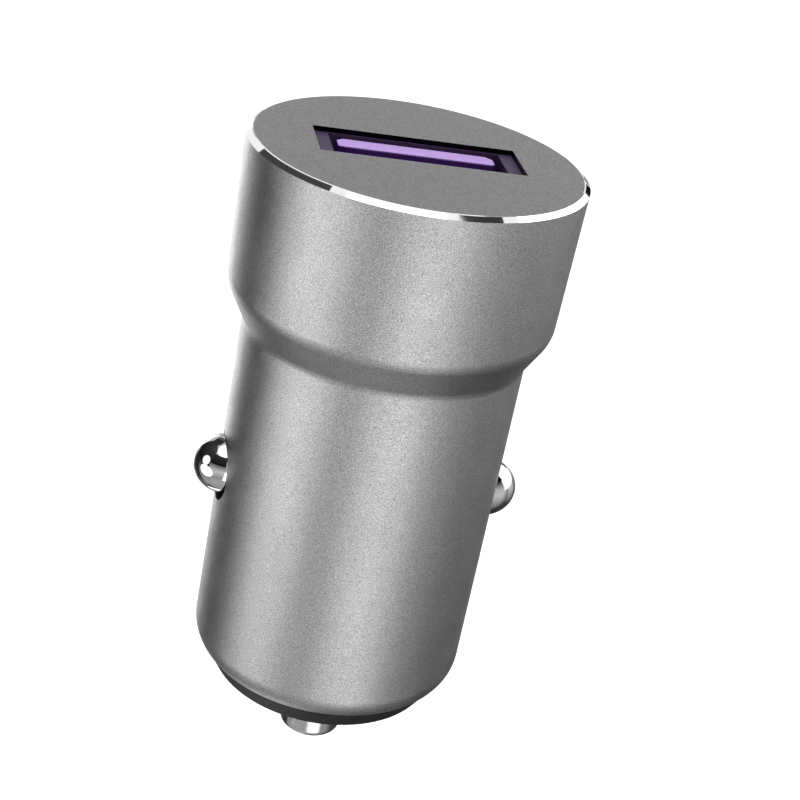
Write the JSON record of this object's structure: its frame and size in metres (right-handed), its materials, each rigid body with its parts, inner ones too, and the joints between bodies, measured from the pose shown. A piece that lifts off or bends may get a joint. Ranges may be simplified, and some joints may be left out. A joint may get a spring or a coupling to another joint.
{
  "type": "car charger plug",
  "caption": "Turned metal car charger plug with a USB port in its face, a sprung centre pin in a black tip cap and sprung side contacts.",
  "frame": {"origin": "on the plug's axis, where the head's shoulder meets the barrel that goes into the socket", "axes": "+Z along the plug's axis towards the port's face, +X along the port's long side, +Y towards the port's tongue"},
  "size_m": [0.0246, 0.0238, 0.0483],
  "materials": {
    "shell_aluminium": "blasted, anodised titanium grey, with a mirror-cut rim",
    "frame_plastic": "dark violet-grey moulded",
    "sheet_steel": "nickel-plated sheet",
    "purple_plastic": "light violet moulded",
    "gilt_terminal": "gilt",
    "cap_plastic": "black moulded",
    "pin_nickel": "nickel-plated, turned",
    "spring_steel": "drawn wire",
    "seat_brass": "plain",
    "contact_nickel": "bright nickel-plated",
    "board_laminate": "green solder mask",
    "ferrite": "pressed powder",
    "ceramic": "fired",
    "chip_epoxy": "moulded epoxy",
    "can_aluminium": "drawn can"
  },
  "bodies": {
    "charger": {"housing": "shell_aluminium", "port_frame": "frame_plastic", "usb_shell": "sheet_steel", "usb_insulator": "purple_plastic", "usb_terminal_vbus": "gilt_terminal", "usb_terminal_d_minus": "gilt_terminal", "usb_terminal_d_plus": "gilt_terminal", "usb_terminal_ground": "gilt_terminal", "tip_cap": "cap_plastic", "pin_spring": "spring_steel", "spring_seat": "seat_brass", "circuit_board": "board_laminate", "buck_inductor": "ferrite", "fuse": "ceramic", "converter_chip": "chip_epoxy", "protocol_chip": "chip_epoxy", "output_capacitor": "can_aluminium", "input_capacitor": "can_aluminium", "flyback_diode": "chip_epoxy", "ceramic_capacitors": "ceramic", "chip_resistors": "ceramic"},
    "pin": {"centre_pin": "pin_nickel"},
    "contact_left": {"side_contact_left": "contact_nickel"},
    "contact_right": {"side_contact_right": "contact_nickel"}
  },
  "joints": [
    {"name": "centre_pin_press", "type": "slide", "parent": "charger", "child": "pin", "axis": [0, 0, 1], "range_m": [0, 0.0025], "stiffness_N_per_m": 1200, "springref_m": -0.002, "deforming": ["pin_spring"]},
    {"name": "contact_left_press", "type": "hinge", "parent": "charger", "child": "contact_left", "pos_m": [-0.00828, 0, 0.002], "axis": [0, -1, 0], "range_deg": [0, 8], "stiffness_Nm_per_rad": 0.3, "springref_deg": -2.86},
    {"name": "contact_right_press", "type": "hinge", "parent": "charger", "child": "contact_right", "pos_m": [0.00828, 0, 0.002], "axis": [0, 1, 0], "range_deg": [0, 8], "stiffness_Nm_per_rad": 0.3, "springref_deg": -2.86}
  ]
}
